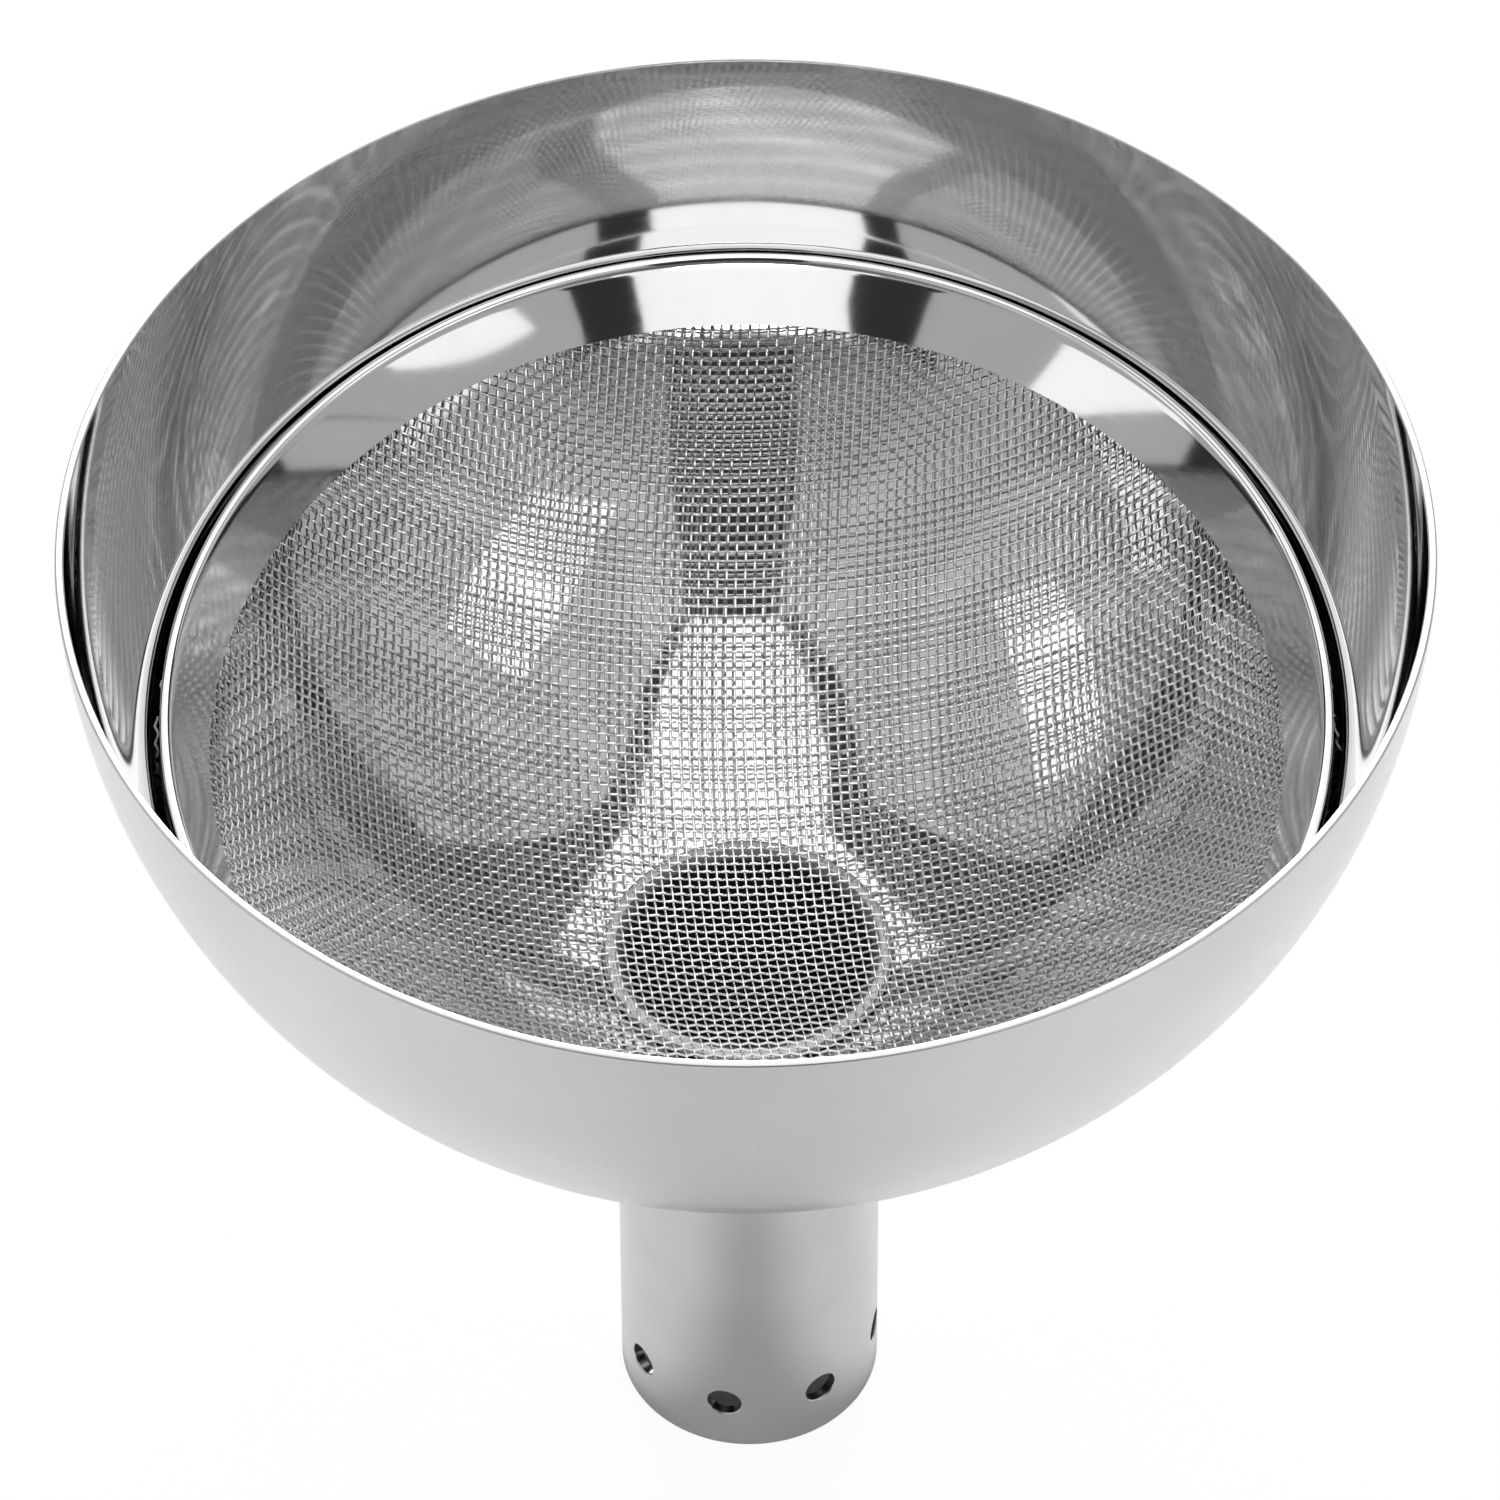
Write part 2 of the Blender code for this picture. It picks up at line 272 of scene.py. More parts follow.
@dataclass
class Section:
    """The closed outline of a turned piece: (radius, height) points, and the finish of each strip."""

    points: list[tuple[float, float]] = field(default_factory=list)
    finishes: list[int] = field(default_factory=list)

    def to(self, radius: float, height: float, finish: int = 0) -> "Section":
        """Draws a straight strip to a point.

        Args:
            radius: The point's distance from the axis.
            height: The point's height.
            finish: Which of the piece's finishes the strip has.

        Returns:
            This section.
        """
        self.points.append((radius, height))
        self.finishes.append(finish)
        return self

    def arc(
        self,
        centre: tuple[float, float],
        radius: float,
        start: float,
        end: float,
        steps: int,
        finish: int = 0,
    ) -> "Section":
        """Draws strips along an arc, after a straight strip to its start.

        Args:
            centre: The arc's centre, as radius and height.
            radius: The arc's own radius.
            start: The angle it starts at, in radians from straight outwards, upwards positive.
            end: The angle it ends at.
            steps: How many strips it has.
            finish: Which of the piece's finishes the strips have.

        Returns:
            This section.
        """
        for step in range(steps + 1):
            angle = start + (end - start) * step / steps
            self.to(centre[0] + radius * math.cos(angle), centre[1] + radius * math.sin(angle), finish)
        return self


def radius_at(ball: float, depth: float) -> float:
    """Radius of a ball's level section at a depth below its centre."""
    return math.sqrt(ball**2 - depth**2)


def finish_mesh(name: str, mesh: bpy.types.Mesh, finishes: list[SteelFinish]) -> bpy.types.Object:
    """Makes an object of a mesh, smooth up to its sharp edges, in its finishes.

    Args:
        name: The piece's name.
        mesh: Its mesh.
        finishes: One finish for each material number in the mesh.

    Returns:
        The new object, in the scene.
    """
    mesh.shade_smooth()
    mesh.set_sharp_from_angle(angle=CREASE)
    for finish in finishes:
        mesh.materials.append(bpy.data.materials.get(finish.name) or finish.material())
    made = bpy.data.objects.new(name, mesh)
    bpy.context.scene.collection.objects.link(made)
    return made


def turned_mesh(name: str, section: Section, steps: int = ROUND_STEPS) -> bpy.types.Mesh:
    """Turns a section about the upright axis.

    Args:
        name: The mesh's name.
        section: The closed outline to turn.
        steps: How many facets it has round.

    Returns:
        A closed mesh that faces out.
    """
    outline = np.array(section.points)
    turn = np.linspace(0.0, math.tau, steps, endpoint=False)
    corners = np.empty((len(outline), steps, 3))
    corners[..., 0] = outline[:, :1] * np.cos(turn)
    corners[..., 1] = outline[:, :1] * np.sin(turn)
    corners[..., 2] = outline[:, 1:]
    here = np.arange(len(outline) * steps).reshape(len(outline), steps)
    before = np.roll(here, 1, axis=0)
    faces = np.stack([before, here, np.roll(here, -1, axis=1), np.roll(before, -1, axis=1)], axis=-1)
    mesh = bpy.data.meshes.new(name)
    mesh.from_pydata(corners.reshape(-1, 3).tolist(), [], faces.reshape(-1, 4).tolist())
    mesh.polygons.foreach_set("material_index", np.repeat(section.finishes, steps).astype(np.int32))
    shape = bmesh.new()
    shape.from_mesh(mesh)
    bmesh.ops.remove_doubles(shape, verts=shape.verts, dist=MERGE_GAP)
    bmesh.ops.recalc_face_normals(shape, faces=shape.faces)
    shape.to_mesh(mesh)
    shape.free()
    return mesh


def set_on(piece: bpy.types.Object, body: str, slot: str, *nodes: str) -> None:
    """Puts a piece on its body and hides the CAD nodes that it stands for.

    Args:
        piece: The piece, in place.
        body: The CAD body that it moves with.
        slot: Not used.
        *nodes: The CAD nodes that it replaces.
    """
    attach(piece, body)
    if nodes:
        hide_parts(*nodes)
    LOG.info("%s rides on %s, %d faces", piece.name, body, len(piece.data.polygons))


@dataclass
class Bowl:
    """The spun bowl: a ball cut open just under its middle."""

    ball: float = 62.6 * MM
    wall: float = 0.8 * MM
    rim_drop: float = 2.3 * MM
    rim_round: float = 0.2 * MM
    drain: float = 12.9 * MM
    arc_steps: int = 96

    def section(self) -> Section:
        """Draws the bowl's wall, with finish 0 inside, 1 outside and 2 on the rim.

        Returns:
            The outline, about the ball's centre.
        """
        inside = self.ball - self.wall
        top = -self.rim_drop
        drawn = Section()
        outer_rim = radius_at(self.ball, self.rim_drop) - self.rim_round
        inner_rim = radius_at(inside, self.rim_drop) + self.rim_round
        drawn.arc((inner_rim, top - self.rim_round), self.rim_round, math.pi, math.pi / 2, 4, 2)
        drawn.arc((outer_rim, top - self.rim_round), self.rim_round, math.pi / 2, 0.0, 4, 1)
        below = self.rim_drop + self.rim_round
        drawn.arc(
            (0.0, 0.0), self.ball, -math.asin(below / self.ball), -math.acos(self.drain / self.ball),
            self.arc_steps, 1,
        )
        drawn.arc(
            (0.0, 0.0), inside, -math.acos(self.drain / inside), -math.asin(below / inside),
            self.arc_steps, 0,
        )
        return drawn

    def build(self) -> bpy.types.Object:
        """Builds the bowl in place.

        Returns:
            The bowl.
        """
        mesh = turned_mesh("bowl_shell", self.section())
        shell = finish_mesh("bowl_shell", mesh, [MIRROR_BOWL, SATIN_BOWL, GROUND_RIM])
        shell.location.z = BALL_HEIGHT
        set_on(shell, "funnel", "bowl_steel", "bowl")
        return shell


@dataclass
class Spout:
    """The spout: a tube hung by its mouth in the drain hole, closed below and drilled round its end."""

    radius: float = 12.6 * MM
    wall: float = 1.0 * MM
    mouth_radius: float = 13.7 * MM
    mouth_seat: float = 61.5 * MM
    mouth_thickness: float = 0.7 * MM
    mouth_round: float = 0.25 * MM
    end_round: float = 0.25 * MM
    cap_thickness: float = 1.2 * MM
    cap_gap: float = 0.02 * MM
    cap_chamfer: float = 0.2 * MM
    hole_count: int = 8
    hole_diameter: float = 3.4 * MM
    hole_height: float = 6.4 * MM
    hole_turn: float = math.radians(-11.5)
    countersink: float = 0.15 * MM

    def tube_section(self) -> Section:
        """Draws the tube's wall, with finish 0 outside and 1 in the bore.

        The strips are short near the holes, so that the wall stays smooth round them.

        Returns:
            The outline, from the funnel's foot up.
        """
        bore = self.radius - self.wall
        mouth_under = BALL_HEIGHT - radius_at(self.mouth_seat, self.mouth_radius)
        mouth_top = mouth_under + self.mouth_thickness
        lip = self.mouth_radius - self.mouth_round
        drawn = Section()
        drawn.arc((lip, mouth_top - self.mouth_round), self.mouth_round, math.pi / 2, 0.0, 4)
        drawn.to(self.mouth_radius, mouth_under)
        drawn.to(self.radius, mouth_under)
        levels = [56.0, 48.0, 40.0, 32.0, 25.0, 20.0, 16.0, 13.0, 11.0]
        levels += [9.5 - 0.5 * step for step in range(14)]
        for level in levels:
            drawn.to(self.radius, level * MM)
        foot = self.radius - self.end_round
        drawn.arc((foot, self.end_round), self.end_round, 0.0, -math.pi / 2, 4)
        drawn.to(bore, 0.0)
        for level in reversed(levels):
            drawn.to(bore, level * MM, 1)
        drawn.arc((bore + self.wall, mouth_top - self.wall), self.wall, math.pi, math.pi / 2, 10, 1)
        return drawn

    def drill_mesh(self) -> bpy.types.Mesh:
        """Makes the cutter for every side hole: a drill with a small countersink.

        Returns:
            One closed cutter for each hole.
        """
        hole = self.hole_diameter / 2
        skin = self.wall / 2
        reach = 1.6 * self.wall
        flare = hole + 2 * self.countersink
        section = Section()
        section.to(0.0, -reach).to(hole, -reach).to(hole, skin - self.countersink)
        section.to(flare, skin + self.countersink).to(flare, reach).to(0.0, reach)
        one = turned_mesh("drill", section, HOLE_STEPS)
        cutters = bmesh.new()
        for number in range(self.hole_count):
            azimuth = self.hole_turn + math.tau * number / self.hole_count
            outward = Vector((math.sin(azimuth), -math.cos(azimuth), 0.0))
            place = outward.to_track_quat("Z", "Y").to_matrix().to_4x4()
            place.translation = outward * (self.radius - skin) + Vector((0.0, 0.0, self.hole_height))
            moved = one.copy()
            moved.transform(place)
            cutters.from_mesh(moved)
            bpy.data.meshes.remove(moved)
        bpy.data.meshes.remove(one)
        joined = bpy.data.meshes.new("side_hole_drills")
        cutters.to_mesh(joined)
        cutters.free()
        return joined

    def build_tube(self) -> bpy.types.Object:
        """Builds the drilled tube in place.

        Returns:
            The tube.
        """
        # Finish 1, the bore, has a colour darkened as painted shade for the dim inside of the tube.
        finishes = [SATIN_TUBE, BORE_WITH_PAINTED_SHADE]
        blank = finish_mesh("tube_blank", turned_mesh("tube_blank", self.tube_section()), finishes)
        drill = bpy.data.objects.new("side_hole_drills", self.drill_mesh())
        bpy.context.scene.collection.objects.link(drill)
        cut = blank.modifiers.new("side_holes", "BOOLEAN")
        cut.operation = "DIFFERENCE"
        cut.object = drill
        bpy.context.view_layer.update()
        graph = bpy.context.evaluated_depsgraph_get()
        mesh = bpy.data.meshes.new_from_object(blank.evaluated_get(graph))
        mesh.name = "spout_drilled_tube"
        for tool in (blank, drill):
            bpy.data.objects.remove(tool)
        tube = finish_mesh("spout_drilled_tube", mesh, [])
        set_on(tube, "funnel", "spout_steel", "spout_tube")
        return tube

    def build_cap(self) -> bpy.types.Object:
        """Builds the disc that closes the tube's end, flush with it.

        Returns:
            The disc.
        """
        edge = self.radius - self.wall - self.cap_gap
        inner = edge - self.cap_chamfer
        section = Section().to(0.0, 0.0).to(inner * 0.5, 0.0).to(inner, 0.0).to(edge, self.cap_chamfer)
        section.to(edge, self.cap_thickness - self.cap_chamfer).to(inner, self.cap_thickness)
        section.to(inner * 0.5, self.cap_thickness).to(0.0, self.cap_thickness)
        cap = finish_mesh("spout_end_disc", turned_mesh("spout_end_disc", section), [BLANKED_DISC])
        set_on(cap, "funnel", "cap_steel", "spout_end_cap")
        return cap


@dataclass
class StrainerFrame:
    """The strainer's metal: the polished band with its rolled bead, and the clamp ring behind the mesh.

    Balls are radii about the ball's centre, and depths are measured down from that centre.
    """

    lean: float = math.radians(5.1)
    band_top: float = 27.5 * MM
    band_foot: float = 33.4 * MM
    band_outside: float = 60.5 * MM
    band_inside: float = 60.05 * MM
    band_strips: int = 9
    bead: float = 0.6 * MM
    bead_end: float = math.radians(-70)
    clamp_top: float = 30.0 * MM
    clamp_outside: float = 61.5 * MM
    clamp_inside: float = 61.2 * MM

    def stand(self, piece: bpy.types.Object) -> None:
        """Leans a piece with the strainer about the ball's centre."""
        piece.matrix_world = Matrix.LocRotScale(
            Vector((0.0, 0.0, BALL_HEIGHT)), Euler((self.lean, 0.0, 0.0)), None
        )

    def band_section(self) -> Section:
        """Draws the band: a leaning strip whose top rolls outwards into a bead.

        Returns:
            The outline, about the ball's centre.
        """
        foot_in = radius_at(self.band_inside, self.band_foot)
        top_in = radius_at(self.band_inside, self.band_top)
        slope = math.atan2(self.band_foot - self.band_top, top_in - foot_in)
        centre_height = -self.band_top - self.bead
        start_height = centre_height + self.bead * math.cos(slope)
        start_radius = foot_in + (start_height + self.band_foot) / math.tan(slope)
        centre = (start_radius + self.bead * math.sin(slope), centre_height)
        drawn = Section()
        foot_out = radius_at(self.band_outside, self.band_foot)
        drawn.to(foot_out, -self.band_foot).to(foot_in, -self.band_foot)
        for part in range(1, self.band_strips):
            height = -self.band_foot + (start_height + self.band_foot) * part / self.band_strips
            drawn.to(foot_in + (height + self.band_foot) / math.tan(slope), height)
        drawn.arc(centre, self.bead, math.pi / 2 + slope, self.bead_end, 14)
        under = self.band_top + 2.0 * self.bead
        drawn.to(radius_at(self.band_outside, under), -under)
        return drawn

    def clamp_section(self) -> Section:
        """Draws the thin ring behind the mesh's turned-up edge.

        Returns:
            The outline, about the ball's centre.
        """
        drawn = Section()
        for ball, depth in (
            (self.clamp_outside, self.clamp_top), (self.clamp_outside, self.band_foot),
            (self.clamp_inside, self.band_foot), (self.clamp_inside, self.clamp_top),
        ):
            drawn.to(radius_at(ball, depth), -depth)
        return drawn

    def build(self) -> list[bpy.types.Object]:
        """Builds the band and the clamp ring in place.

        Returns:
            The two pieces.
        """
        band_mesh = turned_mesh("strainer_polished_band", self.band_section())
        band = finish_mesh("strainer_polished_band", band_mesh, [MIRROR_BAND])
        clamp_mesh = turned_mesh("strainer_clamp_strip", self.clamp_section())
        clamp = finish_mesh("strainer_clamp_strip", clamp_mesh, [ROLLED_STRIP])
        for piece in (band, clamp):
            self.stand(piece)
        set_on(band, "strainer", "band_steel", "strainer_band")
        set_on(clamp, "strainer", "clamp_steel", "strainer_clamp_ring")
        return [band, clamp]


class Wires(Enum):
    """The two sets of wires in the plain weave."""

    WARP = "front to back"
    WEFT = "left to right"


@dataclass
class WovenMesh:
    """The strainer's cloth: plain-woven wire, pressed into a dish and turned up behind the band.

    The cloth's own coordinates run along it from its middle, so the wires stay one pitch apart up the
    dish's sides. Pressing has pulled the warp a little askew and bowed it, as the real cloth shows.
    """

    frame: StrainerFrame
    pitch: float = 0.89 * MM
    wire: float = 0.24 * MM
    edge_ball: float = 60.85 * MM
    edge_depth: float = 33.65 * MM
    bottom_depth: float = 57.65 * MM
    hem_rise: float = 2.6 * MM
    hem_slope: float = math.radians(58.0)
    askew: float = -0.10
    bow: float = 2.2
    weft_askew: float = 0.02
    sides: int = 6
    fewest_points: int = 4

    @property
    def edge_radius(self) -> float:
        """Radius of the dish's edge."""
        return radius_at(self.edge_ball, self.edge_depth)

    @property
    def dish(self) -> float:
        """Radius of the ball that the dish is part of."""
        sag = self.bottom_depth - self.edge_depth
        return (self.edge_radius**2 + sag**2) / (2 * sag)

    def across(self, along: np.ndarray) -> np.ndarray:
        """Level distance from the middle at a length along the cloth, straight on past the edge."""
        reach = self.dish * math.asin(self.edge_radius / self.dish)
        inside = np.clip(along, -reach, reach)
        return self.dish * np.sin(inside / self.dish) + (along - inside) * math.cos(self.hem_slope)

    def surface(self, x: np.ndarray, y: np.ndarray) -> tuple[np.ndarray, np.ndarray]:
        """Finds the cloth's middle surface.

        Args:
            x: Places to the right.
            y: Places to the back.

        Returns:
            The points there, and which way the cloth faces.
        """
        out = np.hypot(x, y)
        centre = self.dish - self.bottom_depth
        in_dish = np.minimum(out, self.edge_radius)
        height = centre - np.sqrt(self.dish**2 - in_dish**2)
        height = height + np.maximum(out - self.edge_radius, 0.0) * math.tan(self.hem_slope)
        lean = np.where(out > self.edge_radius, self.hem_slope, np.arcsin(in_dish / self.dish))
        safe = np.maximum(out, 1e-9)
        facing = np.stack([-x / safe * np.sin(lean), -y / safe * np.sin(lean), np.cos(lean)], axis=-1)
        return np.stack([x, y, height], axis=-1), facing

    def path(self, wires: Wires, number: int) -> tuple[np.ndarray, np.ndarray]:
        """Follows one wire over and under the wires that cross it.

        Args:
            wires: Which set the wire is in.
            number: Its place in the set, 0 in the middle.

        Returns:
            Points along the wire, two to each crossing, and which way the cloth faces there.
        """
        count = 2 * math.ceil(1.1 * self.dish / self.pitch)
        run = np.arange(-count, count + 1) * self.pitch / 2
        still = np.full_like(run, number * self.pitch)
        warp_place, weft_place = (still, run) if wires is Wires.WARP else (run, still)
        y = self.across(weft_place)
        x = self.across(warp_place + self.askew * y + self.bow * y**2)
        y = self.across(weft_place + self.weft_askew * x)
        points, facing = self.surface(x, y)
        side = 1.0 if wires is Wires.WARP else -1.0
        lift = side * (-1.0) ** number * np.cos(math.pi * run / self.pitch) * self.wire / 2
        limit = self.edge_radius + self.hem_rise / math.tan(self.hem_slope)
        kept = np.hypot(x, y) < limit
        return (points + lift[:, None] * facing)[kept], facing[kept]

    def tube(self, points: np.ndarray, facing: np.ndarray) -> tuple[np.ndarray, np.ndarray]:
        """Puts a round skin on one wire.

        Args:
            points: The wire's middle line.
            facing: Which way the cloth faces along it.

        Returns:
            Corners, ring by ring, and four-sided faces on them.
        """
        ahead = np.gradient(points, axis=0)
        ahead /= np.linalg.norm(ahead, axis=1)[:, None]
        aside = np.cross(ahead, facing)
        aside /= np.linalg.norm(aside, axis=1)[:, None]
        upward = np.cross(aside, ahead)
        turn = np.arange(self.sides) * math.tau / self.sides
        skin = np.cos(turn)[:, None] * aside[:, None] + np.sin(turn)[:, None] * upward[:, None]
        corners = points[:, None] + self.wire / 2 * skin
        here = np.arange(len(points) * self.sides).reshape(len(points), self.sides)
        near, far = here[:-1], here[1:]
        faces = np.stack([near, np.roll(near, -1, axis=1), np.roll(far, -1, axis=1), far], axis=-1)
        return corners.reshape(-1, 3), faces.reshape(-1, 4)

    def build_group(self, wires: Wires, numbers: list[int], name: str) -> bpy.types.Object:
        """Builds some of the wires of one set as a piece.

        Args:
            wires: Which set.
            numbers: The wires' places in the set.
            name: The piece's name.

        Returns:
            The piece, leaning in place.
        """
        corners, faces, used = [], [], 0
        for number in numbers:
            points, facing = self.path(wires, number)
            if len(points) < self.fewest_points:
                continue
            wire_corners, wire_faces = self.tube(points, facing)
            corners.append(wire_corners)
            faces.append(wire_faces + used)
            used += len(wire_corners)
        mesh = bpy.data.meshes.new(name)
        mesh.from_pydata(np.concatenate(corners).tolist(), [], np.concatenate(faces).tolist())
        piece = finish_mesh(name, mesh, [DRAWN_WIRE])
        self.frame.stand(piece)
        return piece

    def build(self) -> list[bpy.types.Object]:
        """Builds all the wires in place, each set in a few groups of about the same size.

        Returns:
            The pieces.
        """
        reach = math.ceil(1.02 * self.dish / self.pitch)
        pieces = []
        numbers = np.arange(-reach, reach + 1)
        bounds = [-reach - 1, -reach // 4, reach // 4, reach + 1]
        places = {Wires.WARP: ("left", "middle", "right"), Wires.WEFT: ("front", "middle", "back")}
        for wires, words in places.items():
            for word, low, high in zip(words, bounds, bounds[1:]):
                chosen = numbers[(numbers > low) & (numbers <= high)].tolist()
                piece = self.build_group(wires, chosen, f"strainer_{wires.name.lower()}_{word}")
                nodes = ("strainer_mesh",) if not pieces else ()
                set_on(piece, "strainer", "mesh_wire", *nodes)
                pieces.append(piece)
        return pieces


@dataclass(frozen=True)
class CeilingStrip:
    """A strip of the studio's ceiling over the funnel: a white panel, or a dark gap between panels.

    Stations run along the strip: place to the right, place to the back and half width, all as shares of
    the height that the strip hangs at above the bowl's mouth. A glow of 1 is white and 0 is black.
    """

    name: str
    stations: tuple[tuple[float, float, float], ...]
    height: float = 0.8
    glow: float = 0.04

    def material(self) -> bpy.types.Material:
        """Makes the strip's even glow.

        Returns:
            The new material.
        """
        made = bpy.data.materials.new(f"studio ceiling, {self.name}")
        made.use_nodes = True
        tree = made.node_tree
        tree.nodes.clear()
        glow = add_node(tree, "ShaderNodeEmission", {"Color": linear("FFFFFF"), "Strength": self.glow})
        add_node(tree, "ShaderNodeOutputMaterial", {"Surface": glow.outputs[0]})
        return made

    def build(self) -> bpy.types.Object:
        """Hangs the strip. The camera doesn't see it, but the steel mirrors it and takes its light.

        Returns:
            The strip.
        """
        path = np.array(self.stations)
        ahead = np.gradient(path[:, :2], axis=0)
        ahead /= np.linalg.norm(ahead, axis=1)[:, None]
        aside = np.stack([-ahead[:, 1], ahead[:, 0]], axis=-1) * path[:, 2:]
        edges = np.stack([path[:, :2] - aside, path[:, :2] + aside], axis=1) * self.height
        corners = np.full((len(path) * 2, 3), MOUTH_HEIGHT + self.height)
        corners[:, :2] = edges.reshape(-1, 2)
        faces = [(n, n + 2, n + 3, n + 1) for n in range(0, len(corners) - 2, 2)]
        mesh = bpy.data.meshes.new(self.name)
        mesh.from_pydata(corners.tolist(), [], faces)
        mesh.materials.append(self.material())
        strip = bpy.data.objects.new(self.name, mesh)
        strip.visible_camera = False
        bpy.context.scene.collection.objects.link(strip)
        return strip


@dataclass
class Studio:
    """A white studio: pale floor, white surroundings, a ceiling of panels, a soft lamp and the camera."""

    floor_reach: float = 3.0
    floor_colour: str = "F3F3F3"
    floor_lift: float = 0.95
    mirrored_lift: float = 0.05
    white: float = 0.62
    dim: float = 0.1
    dim_below: float = -0.95
    white_above: float = 0.05
    ceiling: tuple[CeilingStrip, ...] = (
        CeilingStrip("front_gap", (
            (0.05, -0.48, 0.16), (0.05, -0.75, 0.20), (0.05, -1.1, 0.29), (0.15, -3.5, 0.70),
        )),
        CeilingStrip("left_gap", (
            (-0.15, -0.48, 0.03), (-0.25, -0.24, 0.05), (-0.286, 0.0, 0.05), (-0.30, 0.24, 0.08),
            (-0.48, 0.465, 0.115), (-0.78, 0.87, 0.20), (-1.75, 1.9, 0.45),
        )),
        CeilingStrip("right_gap", (
            (0.22, -0.47, 0.02), (0.30, -0.2, 0.03), (0.323, 0.0, 0.04), (0.38, 0.225, 0.05),
            (0.51, 0.44, 0.08), (0.90, 0.95, 0.28), (1.9, 1.9, 0.60),
        )),
        CeilingStrip("back_panel", (
            (0.03, -0.47, 0.16), (0.03, -0.2, 0.28), (0.03, 0.2, 0.34), (0.02, 0.5, 0.45),
            (0.03, 0.95, 0.70), (0.03, 1.9, 1.5), (0.03, 3.5, 2.6),
        ), 0.85, 1.6),
        CeilingStrip("left_panel", ((-1.35, -0.5, 0.30), (-1.4, 0.0, 0.34), (-1.4, 0.5, 0.30)), 0.85, 1.6),
        CeilingStrip("right_panel", ((0.9, -1.1, 0.30), (1.0, -0.65, 0.34), (1.1, -0.2, 0.30)), 0.85, 1.6),
    )
    lamp_place: Vector = field(default_factory=lambda: Vector((0.0, 0.75, 0.26)))
    lamp_size: tuple[float, float] = (0.5, 0.4)
    lamp_power: float = 7.0
    lamp_aim: float = 0.6
    lens: float = 248.5
    sensor: float = 36.0
    far: float = 20.0
    eye: Vector = field(default_factory=lambda: Vector((0.0, -0.6395, 0.8025)))
    aim: Vector = field(default_factory=lambda: Vector((0.0003, 0.0, 0.0882)))
    roll: float = math.radians(-0.25)

    def build_floor(self) -> bpy.types.Object:
        """Lays the pale floor, lifted to white where it is looked at and less where it is mirrored.

        Returns:
            The floor, which keeps the funnel's shadow.
        """
        shape = bmesh.new()
        bmesh.ops.create_grid(shape, x_segments=8, y_segments=8, size=self.floor_reach)
        mesh = bpy.data.meshes.new("floor")
        shape.to_mesh(mesh)
        shape.free()
        material = bpy.data.materials.new("white paper floor, matt")
        material.use_nodes = True
        tree = material.node_tree
        tree.nodes.clear()
        paper = add_node(tree, "ShaderNodeBsdfDiffuse", {"Color": linear(self.floor_colour)})
        white = add_node(tree, "ShaderNodeEmission", {"Color": linear("FFFFFF"), "Strength": 1.0})
        path = add_node(tree, "ShaderNodeLightPath").outputs
        looked_at = add_node(
            tree, "ShaderNodeMath", {0: path["Is Camera Ray"], 1: self.floor_lift}, operation="MULTIPLY"
        ).outputs[0]
        mirrored = add_node(
            tree, "ShaderNodeMath",
            {0: path["Is Glossy Ray"], 1: path["Is Transmission Ray"]},
            operation="MAXIMUM",
        ).outputs[0]
        mirrored = add_node(
            tree, "ShaderNodeMath", {0: mirrored, 1: self.mirrored_lift}, operation="MULTIPLY"
        ).outputs[0]
        lift = add_node(tree, "ShaderNodeMath", {0: looked_at, 1: mirrored}, operation="MAXIMUM").outputs[0]
        mixed = add_node(
            tree, "ShaderNodeMixShader", {0: lift, 1: paper.outputs[0], 2: white.outputs[0]}
        )
        add_node(tree, "ShaderNodeOutputMaterial", {"Surface": mixed.outputs[0]})
        mesh.materials.append(material)
        floor = bpy.data.objects.new("floor", mesh)
        bpy.context.scene.collection.objects.link(floor)
        return floor

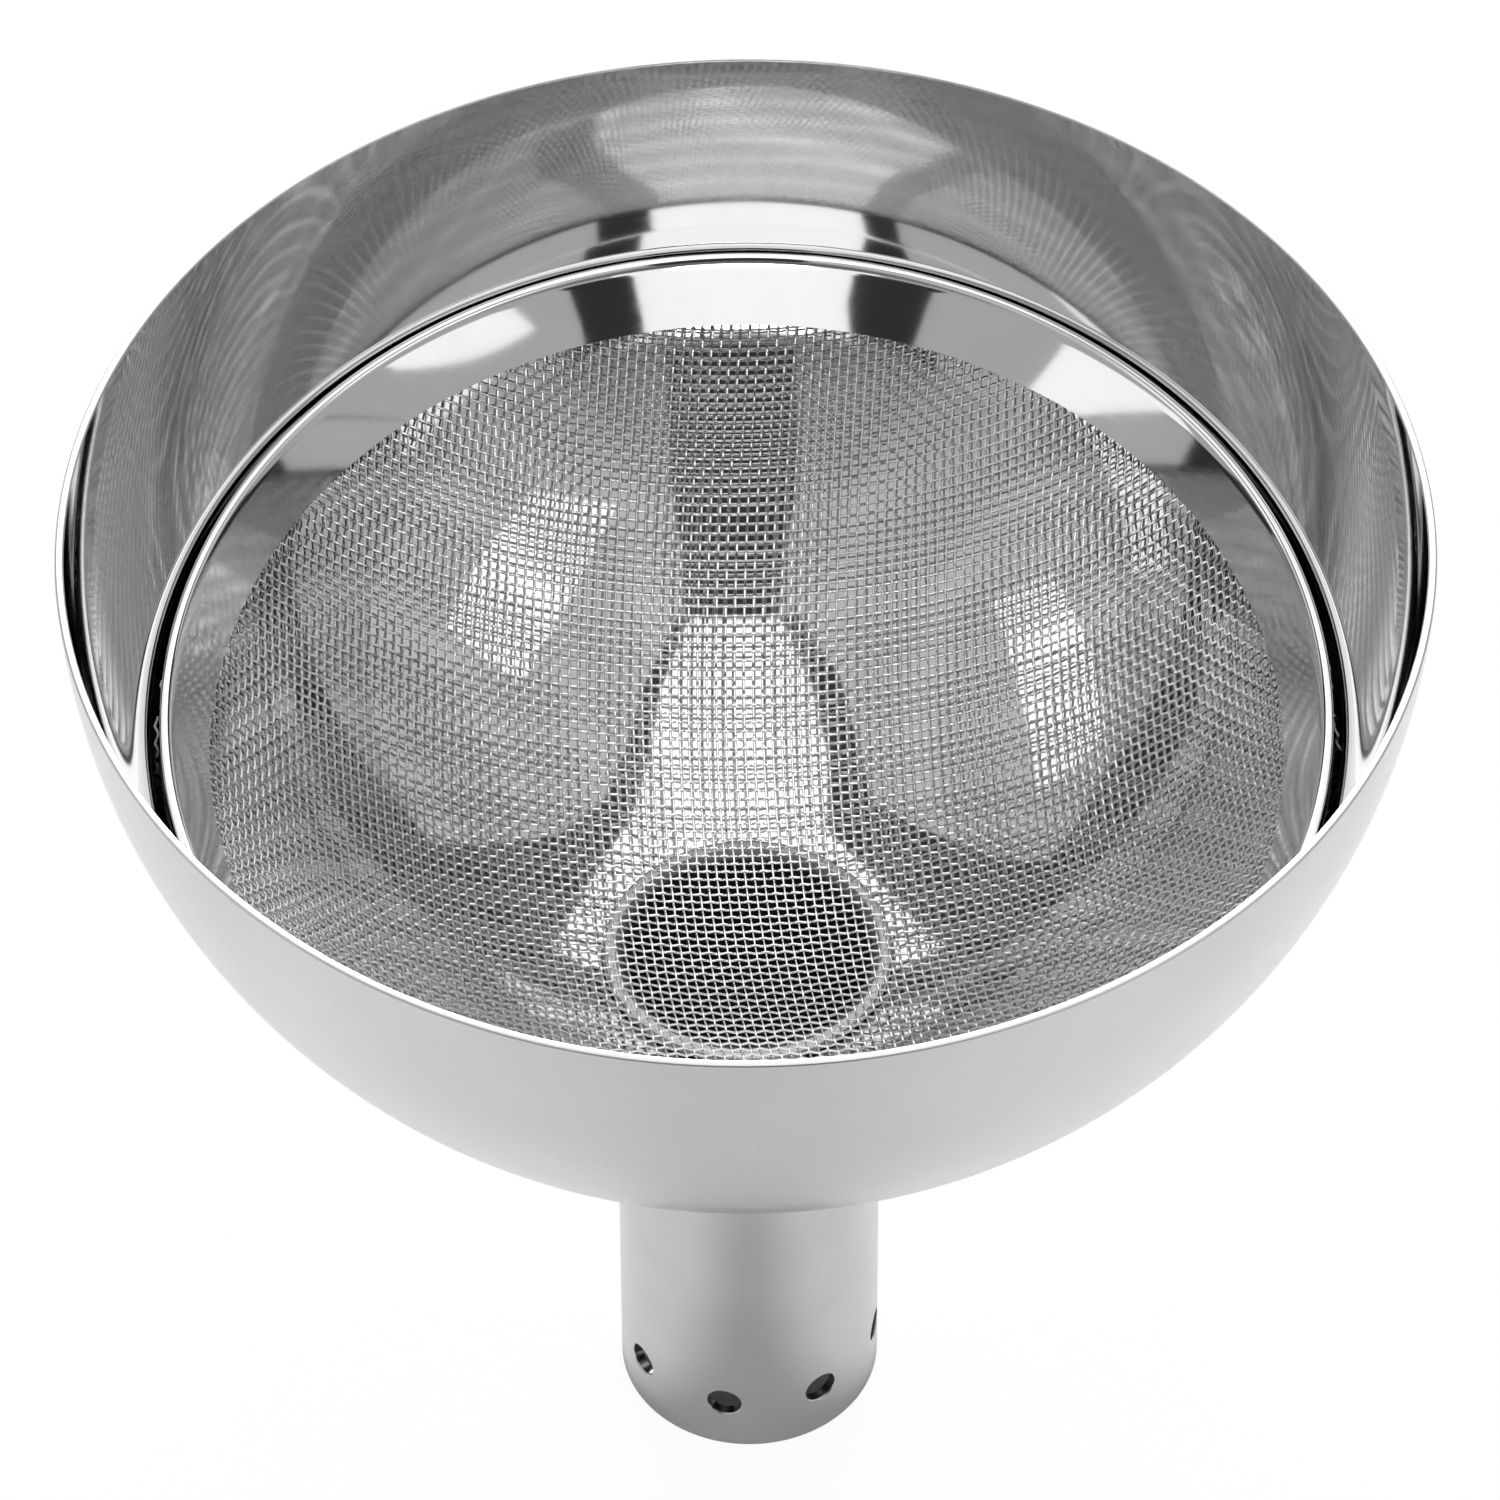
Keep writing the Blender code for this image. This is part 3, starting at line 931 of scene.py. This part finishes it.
    def build_world(self) -> bpy.types.World:
        """Surrounds the funnel with soft white that dims low down on the camera's side.

        Returns:
            The world, plain white where the camera looks straight at it.
        """
        world = bpy.data.worlds.new("white surroundings")
        world.use_nodes = True
        tree = world.node_tree
        tree.nodes.clear()
        towards = add_node(tree, "ShaderNodeTexCoord").outputs["Generated"]
        axes = add_node(tree, "ShaderNodeSeparateXYZ", {0: towards}).outputs
        lit = add_node(tree, "ShaderNodeMath", {0: axes["Y"], 1: axes["Z"]}, operation="ADD").outputs[0]
        level = add_node(
            tree, "ShaderNodeMapRange",
            {"Value": lit, "From Min": self.dim_below, "From Max": self.white_above,
             "To Min": self.dim, "To Max": self.white},
            interpolation_type="SMOOTHSTEP",
        ).outputs["Result"]
        seen = add_node(tree, "ShaderNodeLightPath").outputs["Is Camera Ray"]
        level = add_node(tree, "ShaderNodeMath", {0: level, 1: seen}, operation="MAXIMUM").outputs[0]
        white = add_node(tree, "ShaderNodeBackground", {"Color": linear("FFFFFF"), "Strength": level})
        add_node(tree, "ShaderNodeOutputWorld", {"Surface": white.outputs[0]})
        bpy.context.scene.world = world
        return world

    def build_lamp(self) -> bpy.types.Object:
        """Stands a broad soft lamp low behind the funnel, whose shadow falls towards the camera.

        Returns:
            The lamp.
        """
        data = bpy.data.lights.new("back_softbox", "AREA")
        data.shape = "RECTANGLE"
        data.size, data.size_y = self.lamp_size
        data.energy = self.lamp_power
        lamp = bpy.data.objects.new("back_softbox", data)
        lamp.location = self.lamp_place
        lamp.rotation_euler = (self.aim * self.lamp_aim - self.lamp_place).to_track_quat("-Z", "Y").to_euler()
        lamp.visible_camera = False
        bpy.context.scene.collection.objects.link(lamp)
        return lamp

    def build_camera(self) -> bpy.types.Object:
        """Sets the camera up at the photograph's angle.

        Returns:
            The camera.
        """
        data = bpy.data.cameras.new("camera")
        data.lens = self.lens
        data.sensor_width = self.sensor
        data.clip_end = self.far
        camera = bpy.data.objects.new("camera", data)
        look = (self.aim - self.eye).to_track_quat("-Z", "Y").to_matrix()
        turned = look @ Matrix.Rotation(self.roll, 3, "Z")
        camera.matrix_world = Matrix.Translation(self.eye) @ turned.to_4x4()
        bpy.context.scene.collection.objects.link(camera)
        bpy.context.scene.camera = camera
        return camera

    def build(self) -> None:
        """Builds the whole studio."""
        self.build_floor()
        self.build_world()
        for strip in self.ceiling:
            strip.build()
        self.build_lamp()
        self.build_camera()
        bpy.context.scene.view_settings.view_transform = "Standard"
        LOG.info("studio: floor, surroundings, %d ceiling strips, lamp and camera", len(self.ceiling))


def main() -> None:
    """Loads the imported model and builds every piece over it."""
    logging.basicConfig(level=logging.INFO, format="%(name)s: %(message)s")
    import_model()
    Bowl().build()
    spout = Spout()
    spout.build_tube()
    spout.build_cap()
    frame = StrainerFrame()
    frame.build()
    WovenMesh(frame).build()
    Studio().build()
    bpy.context.view_layer.update()


if __name__ == "__main__":
    main()
